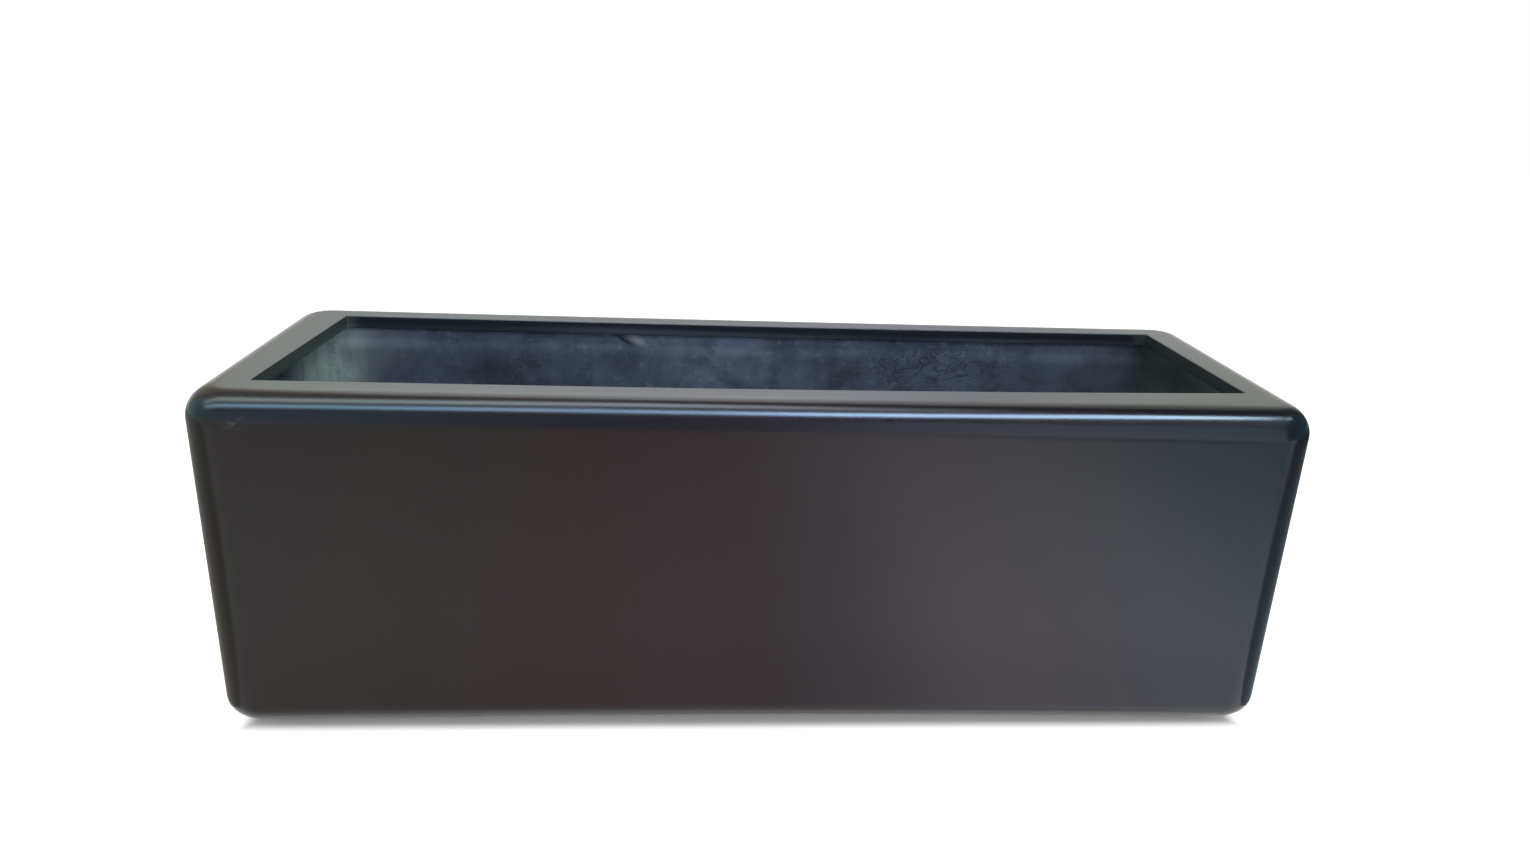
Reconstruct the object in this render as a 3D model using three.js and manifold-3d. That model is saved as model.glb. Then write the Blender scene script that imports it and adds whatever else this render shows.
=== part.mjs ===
// A fibreglass planter box: one moulded trough with a turned-in rim, battens glassed to its floor,
// two plugged drains, and six rubber feet screwed up into the battens.
// Millimetres. X runs along the length, the front faces -Y, Z is up, and the feet stand on z = 0.
import * as THREE from "three";
import { mergeVertices } from "three/addons/utils/BufferGeometryUtils.js";
import Module from "manifold-3d";

const wasm = await Module();
wasm.setup();

// Gaps between pieces
const seatGap = 0.3; // between two flat faces that rest on each other
const slipGap = 0.35; // round a piece that passes through a hole

// The moulded trough
const shellLength = 900;
const shellWidth = 300;
const shellHeight = 290; // from its underside to the rim
const wall = 4;
const cornerRadius = 36; // the four upright edges
const topEdgeRadius = 25; // outside, where the walls turn into the rim
const bottomEdgeRadius = 20; // outside, where the walls turn into the floor
const endRim = 49; // width of the rim at each end, from the outer face
const sideRim = 43; // width of the rim along each side
const mouthCornerRadius = 2;
const lipDepth = 12; // how far the rim's inner edge turns down, from the rim's top

// The feet
const standHeight = 10; // from the ground to the trough's underside
const footTopDiameter = 37;
const footBottomDiameter = 33;
const footEdgeRadius = 2;
const recessDiameter = 16;
const recessDepth = 5.5;
const washerDiameter = 14;
const washerThickness = 1.2;

// The screws
const screwDiameter = 4;
const screwLength = 20;
const screwPointLength = 5;
const screwHeadDiameter = 8.4;
const screwHeadHeight = 2.2;
const screwHeadEdge = 0.6; // upright edge of the head, under its rounding
const driveSlotLength = 4.4;
const driveSlotWidth = 1;
const driveSlotDepth = 1.3;

// The battens on the floor and their skins of laminate
const battenWidth = 50;
const battenHeight = 12;
const battenFromEnd = 110; // from the trough's end to the middle of the end battens
const battenFromCurve = 15; // from where the floor curves up to the batten's end
const battenChamfer = 4;
const footFromBattenEnd = 20;
const glassThickness = 2.5;
const glassTabAlong = 30; // how far the skin laps onto the floor along X
const glassTabAcross = 8; // and along Y

// The drains
const drainBore = 16;
const bushWall = 2.4;
const bushFlangeDiameter = 34;
const bushFlangeThickness = 2.2;
const bushDrip = 3; // how far the bush stands out below the floor
const plugTaper = 0.5; // how much thinner the plug's foot is, on its radius
const plugEdge = 1; // rounding of its flange and bevel of its foot
const plugFlangeDiameter = 25;
const plugFlangeThickness = 3;
const plugKnobDiameter = 15;
const plugNeckDiameter = 9;
const plugKnobHeight = 13;

// Smoothness of the round forms
const cornerSteps = 5; // three.js divides an arc into twice this many
const edgeSteps = 7;
const roundSteps = 24;
const leastRadius = 0.5; // what is left of a corner that an inset or a fillet would use up

// Heights
const floorUnder = standHeight;
const floorTop = floorUnder + wall;
const rimTop = floorUnder + shellHeight;
const rimUnder = rimTop - wall;
const battenUnder = floorTop + seatGap;
const battenTop = battenUnder + battenHeight;
const washerTop = recessDepth - seatGap;
const screwSeat = washerTop - washerThickness - seatGap;
const screwTip = screwSeat + screwLength;

// Places on the floor
const battenLength = shellWidth - 2 * (bottomEdgeRadius + battenFromCurve);
const battenX = shellLength / 2 - battenFromEnd;
const footY = battenLength / 2 - footFromBattenEnd;
const drainX = battenX / 2;

function material(hex, roughness, metalness = 0) {
  return new THREE.MeshStandardMaterial({
    color: new THREE.Color(hex),
    roughness,
    metalness,
  });
}

const satinPaint = () => material(0x3f3b3d, 0.38);
const bareLaminate = () => material(0x3a4550, 0.75);
const plywood = () => material(0x9c7b52, 0.8);
const footRubber = () => material(0x1d1d1e, 0.85);
const bushPlastic = () => material(0x262829, 0.5);
const plugRubber = () => material(0x303234, 0.7);
const zincSteel = () => material(0xa9abad, 0.35, 1);

// A closed three.js geometry as a solid that can be cut and joined.
function toSolid(geometry) {
  const bare = geometry.index ? geometry.toNonIndexed() : geometry.clone();
  bare.deleteAttribute("normal");
  bare.deleteAttribute("uv");
  const merged = mergeVertices(bare, 1e-4);
  return new wasm.Manifold(
    new wasm.Mesh({
      numProp: 3,
      vertProperties: new Float32Array(merged.attributes.position.array),
      triVerts: new Uint32Array(merged.index.array),
    }),
  );
}

function toGeometry(solid) {
  const mesh = solid.getMesh();
  const geometry = new THREE.BufferGeometry();
  geometry.setAttribute("position", new THREE.BufferAttribute(mesh.vertProperties, mesh.numProp));
  geometry.setIndex(new THREE.BufferAttribute(mesh.triVerts, 1));
  geometry.computeVertexNormals();
  return geometry;
}

function piece(name, solid, finish) {
  const mesh = new THREE.Mesh(toGeometry(solid), finish);
  mesh.name = name;
  return mesh;
}

// A rectangle with rounded corners, centred on the origin.
function roundedRectangle(length, width, radius) {
  const r = Math.min(radius, length / 2 - leastRadius, width / 2 - leastRadius);
  const x = length / 2;
  const y = width / 2;
  const shape = new THREE.Shape();
  shape.moveTo(-x + r, -y);
  shape.lineTo(x - r, -y);
  shape.absarc(x - r, -y + r, r, -Math.PI / 2, 0);
  shape.lineTo(x, y - r);
  shape.absarc(x - r, y - r, r, 0, Math.PI / 2);
  shape.lineTo(-x + r, y);
  shape.absarc(-x + r, y - r, r, Math.PI / 2, Math.PI);
  shape.lineTo(-x, -y + r);
  shape.absarc(-x + r, -y + r, r, Math.PI, 1.5 * Math.PI);
  return shape;
}

// A block of that plan between two heights, with the same fillet on its top and bottom edges.
function filletBlock(length, width, radius, low, high, fillet) {
  const r = Math.min(fillet, radius - leastRadius, (high - low) / 2 - leastRadius);
  const geometry = new THREE.ExtrudeGeometry(roundedRectangle(length, width, radius), {
    depth: high - low - 2 * r,
    curveSegments: cornerSteps,
    bevelThickness: r,
    bevelSize: r,
    bevelOffset: -r,
    bevelSegments: edgeSteps,
  });
  geometry.translate(0, 0, low + r);
  return toSolid(geometry);
}

// A block with square top and bottom edges.
function plainBlock(length, width, radius, low, high) {
  const geometry = new THREE.ExtrudeGeometry(roundedRectangle(length, width, radius), {
    depth: high - low,
    curveSegments: cornerSteps,
    bevelEnabled: false,
  });
  geometry.translate(0, 0, low);
  return toSolid(geometry);
}

// A block whose lower and upper edges have different fillets, from two that share its middle.
function troughBlock(inset, low, high) {
  const length = shellLength - 2 * inset;
  const width = shellWidth - 2 * inset;
  const radius = Math.max(cornerRadius - inset, 2 * leastRadius);
  const lower = Math.max(bottomEdgeRadius - inset, leastRadius);
  const upper = Math.max(topEdgeRadius - inset, leastRadius);
  const bottom = filletBlock(length, width, radius, low, high - upper, lower);
  const top = filletBlock(length, width, radius, low + lower, high, upper);
  return bottom.add(top);
}

// A rectangular block whose top edges are cut off at 45 degrees.
function chamferedBlock(length, width, low, high, chamfer) {
  const cut = Math.min(chamfer, (high - low) / 2);
  const corner = cut + leastRadius;
  const geometry = new THREE.ExtrudeGeometry(roundedRectangle(length, width, corner), {
    depth: high - cut - low,
    curveSegments: 1,
    bevelThickness: cut,
    bevelSize: cut,
    bevelOffset: -cut,
    bevelSegments: 1,
  });
  geometry.translate(0, 0, low);
  const below = plainBlock(2 * length, 2 * width, corner, low - 2 * cut, low);
  return toSolid(geometry).subtract(below);
}

function cylinder(diameter, low, high, x = 0, y = 0) {
  const geometry = new THREE.CylinderGeometry(diameter / 2, diameter / 2, high - low, roundSteps);
  geometry.rotateX(Math.PI / 2);
  geometry.translate(x, y, (low + high) / 2);
  return toSolid(geometry);
}

// A solid of revolution about Z, from [radius, height] points that go up its outer side.
function turned(points) {
  const profile = points.map(([radius, height]) => new THREE.Vector2(radius, height));
  const geometry = new THREE.LatheGeometry(profile, roundSteps);
  geometry.rotateX(Math.PI / 2);
  return toSolid(geometry);
}

// Points of a quarter circle about (r, z), from one angle to another, in degrees.
function arc(r, z, radius, from, to, steps = 4) {
  const points = [];
  for (let i = 0; i <= steps; i++) {
    const angle = THREE.MathUtils.degToRad(from + ((to - from) * i) / steps);
    points.push([r + radius * Math.cos(angle), z + radius * Math.sin(angle)]);
  }
  return points;
}

// The six places of the feet, named by their row and their batten.
function footPlaces() {
  const places = [];
  for (const [row, y] of [["front", -footY], ["back", footY]]) {
    for (const [column, x] of [["left", -battenX], ["middle", 0], ["right", battenX]]) {
      places.push({ name: row + "_" + column, x, y });
    }
  }
  return places;
}

const drainPlaces = [
  { name: "left", x: -drainX },
  { name: "right", x: drainX },
];

const battenPlaces = [
  { name: "left", x: -battenX },
  { name: "middle", x: 0 },
  { name: "right", x: battenX },
];

const screwHole = screwDiameter + 2 * slipGap;
const bushBody = drainBore + 2 * bushWall;

// The trough: a hollow block, its mouth cut through the rim, and the rim's edge turned down.
function planterShell() {
  const mouthLength = shellLength - 2 * endRim;
  const mouthWidth = shellWidth - 2 * sideRim;
  const outside = troughBlock(0, floorUnder, rimTop);
  const inside = troughBlock(wall, floorTop, rimUnder);
  const lip = plainBlock(
    mouthLength + 2 * wall,
    mouthWidth + 2 * wall,
    mouthCornerRadius + wall,
    rimTop - lipDepth,
    rimUnder + wall / 2,
  );
  const mouth = plainBlock(
    mouthLength,
    mouthWidth,
    mouthCornerRadius,
    rimTop - lipDepth - wall,
    rimTop + wall,
  );
  let shell = outside.subtract(inside).add(lip).subtract(mouth);
  for (const { x } of drainPlaces) {
    const hole = cylinder(bushBody + 2 * slipGap, floorUnder - wall, floorTop + wall, x);
    shell = shell.subtract(hole);
  }
  for (const { x, y } of footPlaces()) {
    shell = shell.subtract(cylinder(screwHole, floorUnder - wall, floorTop + wall, x, y));
  }
  return piece("planter_shell", shell, satinPaint());
}

// One plywood strip across the floor, with a blind pilot hole over each of its two feet.
function baseBatten(place) {
  let batten = chamferedBlock(battenWidth, battenLength, battenUnder, battenTop, battenChamfer);
  for (const y of [-footY, footY]) {
    batten = batten.subtract(cylinder(screwHole, battenUnder - wall, screwTip + slipGap, 0, y));
  }
  const mesh = piece("base_batten_" + place.name, batten, plywood());
  mesh.position.x = place.x;
  return mesh;
}

// The laminate over a batten: a hat with a brim that laps onto the floor all round.
function battenGlassing(place) {
  const over = seatGap + glassThickness;
  const hat = chamferedBlock(
    battenWidth + 2 * over,
    battenLength + 2 * over,
    battenUnder,
    battenTop + over,
    battenChamfer,
  );
  const brim = plainBlock(
    battenWidth + 2 * glassTabAlong,
    battenLength + 2 * (over + glassTabAcross),
    glassTabAcross,
    battenUnder,
    battenUnder + glassThickness,
  );
  const room = chamferedBlock(
    battenWidth + 2 * seatGap,
    battenLength + 2 * seatGap,
    battenUnder - glassThickness,
    battenTop + seatGap,
    battenChamfer,
  );
  const mesh = piece("batten_glassing_" + place.name, hat.add(brim).subtract(room), bareLaminate());
  mesh.position.x = place.x;
  return mesh;
}

// The flanged liner of a drain hole.
function drainBush(place) {
  const bore = drainBore / 2;
  const body = bushBody / 2;
  const flange = bushFlangeDiameter / 2;
  const low = floorUnder - bushDrip;
  const seat = floorTop + seatGap;
  const top = seat + bushFlangeThickness;
  const round = bushFlangeThickness / 2;
  const bush = turned([
    [bore, low],
    [body, low],
    [body, seat],
    [flange, seat],
    ...arc(flange - round, top - round, round, 0, 90),
    [bore, top],
    [bore, low],
  ]);
  const mesh = piece("drain_bush_" + place.name, bush, bushPlastic());
  mesh.position.x = place.x;
  return mesh;
}

// The rubber bung in a drain, with a knob to pull it out by.
function drainPlug(place) {
  const body = drainBore / 2 - slipGap;
  const seat = floorTop + seatGap + bushFlangeThickness + seatGap;
  const low = floorUnder - bushDrip + seatGap;
  const flange = plugFlangeDiameter / 2;
  const flangeTop = seat + plugFlangeThickness;
  const neck = plugNeckDiameter / 2;
  const knob = plugKnobDiameter / 2;
  const knobRound = knob / 2;
  const knobTop = flangeTop + plugKnobHeight;
  const plug = turned([
    [0, low],
    [body - plugTaper - plugEdge, low],
    [body - plugTaper, low + plugEdge],
    [body, seat],
    [flange, seat],
    ...arc(flange - plugEdge, flangeTop - plugEdge, plugEdge, 0, 90),
    [neck, flangeTop],
    [neck, knobTop - 2 * knobRound],
    ...arc(knob - knobRound, knobTop - knobRound, knobRound, -45, 90, 6),
    [0, knobTop],
  ]);
  const mesh = piece("drain_plug_" + place.name, plug, plugRubber());
  mesh.position.x = place.x;
  return mesh;
}

// A tapered rubber foot with a recess from below for the washer and the screw's head.
function foot(place) {
  const top = standHeight - seatGap;
  const hole = screwHole / 2;
  const low = footBottomDiameter / 2;
  const recess = recessDiameter / 2;
  const solid = turned([
    [hole, recessDepth],
    [recess, recessDepth],
    [recess, 0],
    ...arc(low - footEdgeRadius, footEdgeRadius, footEdgeRadius, -90, 0),
    [footTopDiameter / 2, top],
    [hole, top],
    [hole, recessDepth],
  ]);
  const mesh = piece("foot_" + place.name, solid, footRubber());
  mesh.position.set(place.x, place.y, 0);
  return mesh;
}

function footWasher(place) {
  const low = washerTop - washerThickness;
  const hole = screwHole / 2;
  const washer = turned([
    [hole, low],
    [washerDiameter / 2, low],
    [washerDiameter / 2, washerTop],
    [hole, washerTop],
    [hole, low],
  ]);
  const mesh = piece("foot_washer_" + place.name, washer, zincSteel());
  mesh.position.set(place.x, place.y, 0);
  return mesh;
}

// A pan-head wood screw, head down, with a cross slot in its head.
function footScrew(place) {
  const shank = screwDiameter / 2;
  const head = screwHeadDiameter / 2;
  const round = screwHeadHeight - screwHeadEdge;
  const low = screwSeat - screwHeadHeight;
  let screw = turned([
    [0, low],
    ...arc(head - round, low + round, round, -90, 0),
    [head, screwSeat],
    [shank, screwSeat],
    [shank, screwTip - screwPointLength],
    [0, screwTip],
  ]);
  for (const turn of [0, Math.PI / 2]) {
    const slot = new THREE.BoxGeometry(driveSlotLength, driveSlotWidth, 2 * driveSlotDepth);
    slot.rotateZ(turn);
    slot.translate(0, 0, low);
    screw = screw.subtract(toSolid(slot));
  }
  const mesh = piece("foot_screw_" + place.name, screw, zincSteel());
  mesh.position.set(place.x, place.y, 0);
  return mesh;
}

function planterBox() {
  const box = new THREE.Group();
  box.name = "planter_box";
  box.add(planterShell());
  for (const place of battenPlaces) {
    box.add(baseBatten(place), battenGlassing(place));
  }
  for (const place of drainPlaces) {
    box.add(drainBush(place), drainPlug(place));
  }
  for (const place of footPlaces()) {
    box.add(foot(place), footWasher(place), footScrew(place));
  }
  return box;
}

export default planterBox();
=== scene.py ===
import math

import bmesh
import bpy
import numpy as np
from mathutils import Matrix, Vector


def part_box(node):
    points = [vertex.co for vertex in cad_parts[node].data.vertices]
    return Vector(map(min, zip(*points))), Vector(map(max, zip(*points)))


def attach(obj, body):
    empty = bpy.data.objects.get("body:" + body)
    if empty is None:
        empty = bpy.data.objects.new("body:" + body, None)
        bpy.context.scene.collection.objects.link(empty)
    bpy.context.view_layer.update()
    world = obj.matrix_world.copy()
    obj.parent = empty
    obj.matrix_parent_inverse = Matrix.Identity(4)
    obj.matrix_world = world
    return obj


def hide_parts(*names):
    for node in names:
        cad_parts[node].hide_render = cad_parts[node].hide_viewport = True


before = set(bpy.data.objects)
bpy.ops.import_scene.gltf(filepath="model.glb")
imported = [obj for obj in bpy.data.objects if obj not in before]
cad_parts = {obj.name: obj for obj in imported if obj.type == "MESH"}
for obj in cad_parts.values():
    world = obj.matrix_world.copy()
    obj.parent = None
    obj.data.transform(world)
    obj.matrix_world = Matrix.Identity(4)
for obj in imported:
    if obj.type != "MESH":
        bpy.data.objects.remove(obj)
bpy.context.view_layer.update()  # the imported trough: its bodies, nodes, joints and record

mm = 0.001
scene = bpy.context.scene


def addObject(name, data):
    obj = bpy.data.objects.new(name, data)
    scene.collection.objects.link(obj)
    return obj


# The camera
cameraView = {
    "place": (-0.0641, -0.9212, 0.5544),
    "turn": -4.42,  # degrees about Z, to the right of +Y
    "tilt": -19.49,  # degrees, down
    "roll": -2.41,
    "lens": 24.975,  # mm
    "sensor": 36,
    "nearest": 0.05,
}


def makeCamera():
    view = cameraView
    data = bpy.data.cameras.new("viewCamera")
    data.sensor_width, data.lens, data.clip_start = view["sensor"], view["lens"], view["nearest"]
    turns = Matrix.Identity(3)
    for name, axis in (("turn", "Z"), ("tilt", "X"), ("roll", "Y")):
        turns = turns @ Matrix.Rotation(math.radians(view[name]), 3, axis)
    right, forward, up = turns.col
    axes = Matrix((right, up, -forward)).transposed()
    camera = addObject("viewCamera", data)
    camera.matrix_world = Matrix.Translation(view["place"]) @ axes.to_4x4()
    scene.camera = camera


makeCamera()
print("camera placed")


# Small helpers for node trees, which add to the tree in hand
def useTree(tree):
    global nodes, links
    nodes, links = tree.nodes, tree.links


class Value:
    # a node's output, which takes part in sums as a number does
    def __init__(self, socket):
        self.socket = socket

    def __add__(self, other):
        return mathNode("ADD", self, other)

    def __sub__(self, other):
        return mathNode("SUBTRACT", self, other)

    def __rsub__(self, other):
        return mathNode("SUBTRACT", other, self)

    def __mul__(self, other):
        return mathNode("MULTIPLY", self, other)

    def __abs__(self):
        return mathNode("ABSOLUTE", self)


def feed(socket, value):
    # a socket takes a Value or a plain one, and colours may leave out their alpha
    if isinstance(value, Value):
        links.new(value.socket, socket)
    else:
        socket.default_value = (*value, 1) if socket.type == "RGBA" else value


def addNode(kind, inputs=None, output=0, **settings):
    node = nodes.new(kind)
    for name, value in settings.items():
        setattr(node, name, value)
    for name, value in (inputs or {}).items():
        feed(node.inputs[name], value)
    return Value(node.outputs[output])


def mathNode(operation, first, second=0.0):
    return addNode("ShaderNodeMath", {0: first, 1: second}, operation=operation)


def larger(first, second):
    return mathNode("MAXIMUM", first, second)


def vectorNode(operation, first, second=(0, 0, 0), output="Vector"):
    return addNode("ShaderNodeVectorMath", {0: first, 1: second}, output, operation=operation)


def scaled(vector, scale):
    return addNode("ShaderNodeVectorMath", {0: vector, "Scale": scale}, "Vector", operation="SCALE")


def split(value, kind="XYZ"):
    node = nodes.new("ShaderNodeSeparate" + kind)
    feed(node.inputs[0], value)
    return [Value(socket) for socket in node.outputs]


def noise(place, size, detail=3.0, roughness=0.55, warp=0.0):
    # size is the width of one lump, in metres
    inputs = {"Scale": 1 / size, "Detail": detail, "Roughness": roughness, "Distortion": warp}
    return addNode("ShaderNodeTexNoise", {"Vector": place, **inputs})


def ramp(value, low, high, toLow=0.0, toHigh=1.0):
    inputs = {"From Min": low, "From Max": high, "To Min": toLow, "To Max": toHigh}
    return addNode("ShaderNodeMapRange", {"Value": value, **inputs}, "Result", interpolation_type="SMOOTHSTEP")


def mapped(place, middle=(0, 0, 0), scale=(1, 1, 1), turn=0):
    # the turn is about Y, in degrees
    inputs = {"Location": middle, "Rotation": (0, math.radians(turn), 0), "Scale": scale}
    return addNode("ShaderNodeMapping", {"Vector": place, **inputs}, vector_type="TEXTURE")


def spot(place, middle, reach, turn=0):
    # 1 in the middle of an oval spot, 0 outside it
    return ramp(vectorNode("LENGTH", mapped(place, middle, reach, turn), output="Value"), 1, 0)


def mixColour(share, first, second):
    return addNode("ShaderNodeMix", {0: share, 6: first, 7: second}, 2, data_type="RGBA")


def pairs(stops):
    return zip(list(stops.items()), list(stops.items())[1:])


def numbersAlong(place, stops):
    # passes smoothly through stops of place: number
    total = next(iter(stops.values()))
    for (start, first), (end, second) in pairs(stops):
        total = ramp(place, start, end, 0, second - first) + total
    return total


def coloursAlong(place, stops):
    tone = next(iter(stops.values()))
    for (start, _), (end, colour) in pairs(stops):
        tone = mixColour(ramp(place, start, end), tone, colour)
    return tone


def weight(name):
    return addNode("ShaderNodeAttribute", output="Fac", attribute_name=name)


def bump(height, depth, strength, below=None):
    inputs = {"Height": height, "Distance": depth, "Strength": strength}
    return addNode("ShaderNodeBump", {**inputs, "Normal": below} if below else inputs)


def startMaterial(name, **inputs):
    material = bpy.data.materials.new(name)
    material.use_nodes = True
    useTree(material.node_tree)
    for label, value in inputs.items():
        feed(nodes["Principled BSDF"].inputs[label.replace("_", " ")], value)
    return material, addNode("ShaderNodeTexCoord", output="Object")


def endMaterial(material, tone, rough, normal):
    for name, value in (("Base Color", tone), ("Roughness", rough), ("Normal", normal)):
        feed(nodes["Principled BSDF"].inputs[name], value)
    return material


# Materials, with their colours in linear light. Their spots are (middle, reach, turn).
satinPaint = {
    "tones": {  # along X; the drift from warm on the left to grey on the right is partly a painted reflection
        -0.35: (0.0095, 0.0045, 0.0045),
        0.0: (0.0115, 0.0042, 0.0050),
        0.20: (0.0125, 0.0085, 0.0105),
        0.40: (0.0090, 0.0090, 0.0110),
    },
    "drift": 0.25,  # how far the tones stray
    "dust": (0.10, 0.10, 0.10),
    "scuff": ((-0.4005, -0.146, 0.2785), (0.014, 0.02, 0.006), -12),
    # painted shade on the lip's inner face: near black, lighter and greener at the left end and darker at the right,
    # like the walls beside them
    "lip": (0.0015, 0.0015, 0.002),
    "lipLeft": (0.033, 0.056, 0.046),
    "lipRight": (0.018, 0.028, 0.030),
    "lipFoot": (0.0145, 0.0137, 0.021),  # the lip is paler at its foot, blending into the wall below
    "lipFootPale": (0.030, 0.033, 0.044),
    "lipFootLeft": {-0.05: (0.032, 0.050, 0.050), 0.04: (0.070, 0.100, 0.097)},  # along Y
    # painted light on the lip's foot: paler along X where the wall below is lit, from the foot's height down
    "palePlaces": {-0.24: 0, -0.13: 1, 0.04: 0.85, 0.14: 0, 0.24: 1, 0.34: 0.2},
    "footRise": {-0.40: -0.001, -0.38: 0, -0.30: 0, -0.15: 0.003, 0.05: 0},
    "footHeights": (0.295, 0.2885),
    "roughness": (0.215, 0.24),
    "polish": {0: 0, 0.32: -0.05},  # smoother to the right
    "gloss": 0.32,
}


def makeSatinPaint():
    p = satinPaint
    material, place = startMaterial("satinPaint", IOR=1.5, Specular_IOR_Level=p["gloss"])
    x, y, z = split(place)
    tone = coloursAlong(x + (noise(place, 0.12, detail=2) - 0.5) * p["drift"], p["tones"])
    dust = ramp(noise(place, 0.0015, detail=2), 0.66, 0.80, 0, 0.15)
    rubbed = noise(mapped(place, scale=(3, 1, 1)), 0.006, detail=5, warp=1.0)
    worn = ramp(rubbed, 0.58, 0.70) * weight("edge")
    scratches = noise(mapped(place, scale=(4, 1, 0.6), turn=-20), 0.003)
    scuff = spot(place, *p["scuff"]) * ramp(scratches, 0.48, 0.62)
    marks = larger(worn * 0.4, scuff * 0.55)
    tone = mixColour(larger(dust, marks), tone, p["dust"])
    # painted shade on the lip's face, paler at its foot as painted light where the wall below is lit
    lip = coloursAlong(x, {-0.398: p["lipLeft"], -0.38: p["lip"], 0.385: p["lip"], 0.395: p["lipRight"]})
    foot = mixColour(numbersAlong(x, p["palePlaces"]), p["lipFoot"], p["lipFootPale"])
    footLeft = coloursAlong(y, p["lipFootLeft"])
    foot = coloursAlong(x, {-0.395: footLeft, -0.38: foot, 0.385: foot, 0.395: p["lipRight"]})
    atFoot = ramp(z - numbersAlong(x, p["footRise"]), *p["footHeights"])
    tone = mixColour(weight("lip"), tone, mixColour(atFoot, lip, foot))
    wiped = noise(mapped(place, scale=(2, 1, 1)), 0.06, detail=2)
    rough = ramp(wiped, 0.25, 0.75, *p["roughness"]) + numbersAlong(x, p["polish"])
    rough = rough + marks * 0.25 + weight("lip") * 0.3
    waves = bump(noise(place, 0.09, detail=0), 0.0005, 0.3)
    peel = bump(noise(place, 0.003, detail=0), 0.00004, 0.2, waves)
    return endMaterial(material, tone, rough, bump(marks, 0.0001, 0.4, peel))


roughLaminate = {
    "deep": (0.042, 0.053, 0.078),
    "slate": (0.080, 0.100, 0.150),
    "pale": (0.17, 0.205, 0.24),  # spots where the flow coat is thinner, and painted light at the left end, the far end and the creases' flanks
    # the green is a painted highlight, in the left back corner where the rounded hollow faces the light
    "green": (0.50, 0.64, 0.61),
    "shade": (0.105, 0.135, 0.130),  # the end wall on the right
    # painted shade, in the creases and under the run of resin
    "crease": (0.012, 0.014, 0.024),
    "resin": (0.60, 0.64, 0.70),
    "corner": ((-0.428, 0.135, 0.25), (0.054, 0.07, 0.2)),
    # painted light, at the left end of the back wall and on the left wall
    "palePlaces": [((-0.385, 0.146, 0.262), (0.06, 0.05, 0.05)), ((-0.446, -0.005, 0.262), (0.03, 0.09, 0.06))],
    "creased": ((0.19, 0.146, 0.252), (0.15, 0.04, 0.05)),
    "run": ((-0.119, 0.146, 0.2742), (0.016, 0.02, 0.0065), 34),  # a run of resin on the back wall, its pale colour partly a painted highlight
    "runShadow": ((-0.1310, 0.146, 0.2722), (0.017, 0.02, 0.0034), 34),
    # painted light on the right part of the back wall
    "farEnd": {0.29: 0, 0.37: 0.10, 0.395: 0.10, 0.415: 0},
    "underRim": {0.252: 1.0, 0.268: 1.9, 0.275: 3.0},  # painted light: the wall is lightened right under the rim, against the rim's shadow
    # how light or dark the laminate is, along X
    "coat": {
        -0.34: 1.0, -0.26: 0.68, -0.19: 0.9, -0.10: 1.2, -0.04: 1.25, 0.04: 1.05,
        0.14: 0.9, 0.22: 1.05, 0.29: 0.8, 0.36: 0.8, 0.41: 1.0,
    },
    "roughness": (0.42, 0.66),
}


def makeLaminate(name, creased=True):
    p = roughLaminate
    material, place = startMaterial(name, IOR=1.5, Specular_IOR_Level=0.4)
    x, _, z = split(place)
    broad = noise(place, 0.045, detail=5, roughness=0.6, warp=0.5)
    small = noise(place, 0.011, detail=4, roughness=0.6, warp=0.8)
    streaks = noise(mapped(place, scale=(1, 1, 3.5)), 0.009, detail=4)
    tone = mixColour(ramp(broad, 0.34, 0.66), p["deep"], p["slate"])
    tone = mixColour(ramp(small, 0.5, 0.78, 0, 0.4), tone, p["pale"])
    # a painted highlight: pale green streaks in the left back corner
    corner = spot(place, *p["corner"]) * ramp(streaks, 0.3, 0.62, 0.62, 0.95)
    tone = mixColour(corner, tone, p["green"])
    # painted light at the left end and on the far part of the back wall
    for pale in p["palePlaces"]:
        tone = mixColour(spot(place, *pale) * 0.45, tone, p["pale"])
    tone = mixColour(numbersAlong(x, p["farEnd"]), tone, p["pale"])
    tone = mixColour(ramp(x, 0.405, 0.435), tone, p["shade"])
    # painted light under the rim, against the rim's shadow, with less of it on the left wall
    underRimLight = (numbersAlong(z, p["underRim"]) - 1) * ramp(x, -0.442, -0.41, 0.2, 1) + 1
    tone = scaled(tone, underRimLight * numbersAlong(x, p["coat"]))
    normal = bump(small, 0.0012, 0.6)
    if creased:
        wander = noise(mapped(place, scale=(1.6, 1, 1)), 0.011, roughness=0.6, warp=1.5)
        patches = ramp(noise(place, 0.05, detail=2), 0.5, 0.62, 0, 0.4)
        patches = larger(patches, spot(place, *p["creased"]))
        # painted shade along each crease and a painted highlight on one flank beside it, besides the crease's bump
        crease = ramp(abs(wander - 0.5), 0.03, 0.006) * patches
        flank = ramp(abs(wander - 0.55), 0.022, 0.0) * patches
        tone = mixColour(crease * 0.7, tone, p["crease"])
        tone = mixColour(flank * 0.35, tone, p["pale"])
        normal = bump(1 - crease, 0.0010, 0.7, normal)
    # the run of resin, pale and partly a painted highlight, with a painted shadow under it
    tone = mixColour(spot(place, *p["run"]), tone, p["resin"])
    tone = mixColour(spot(place, *p["runShadow"]) * 0.85, tone, p["crease"])
    normal = bump(noise(place, 0.0035, warp=2.0), 0.0004, 0.5, normal)
    return endMaterial(material, tone, ramp(small, 0.3, 0.7, *p["roughness"]), normal)


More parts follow.
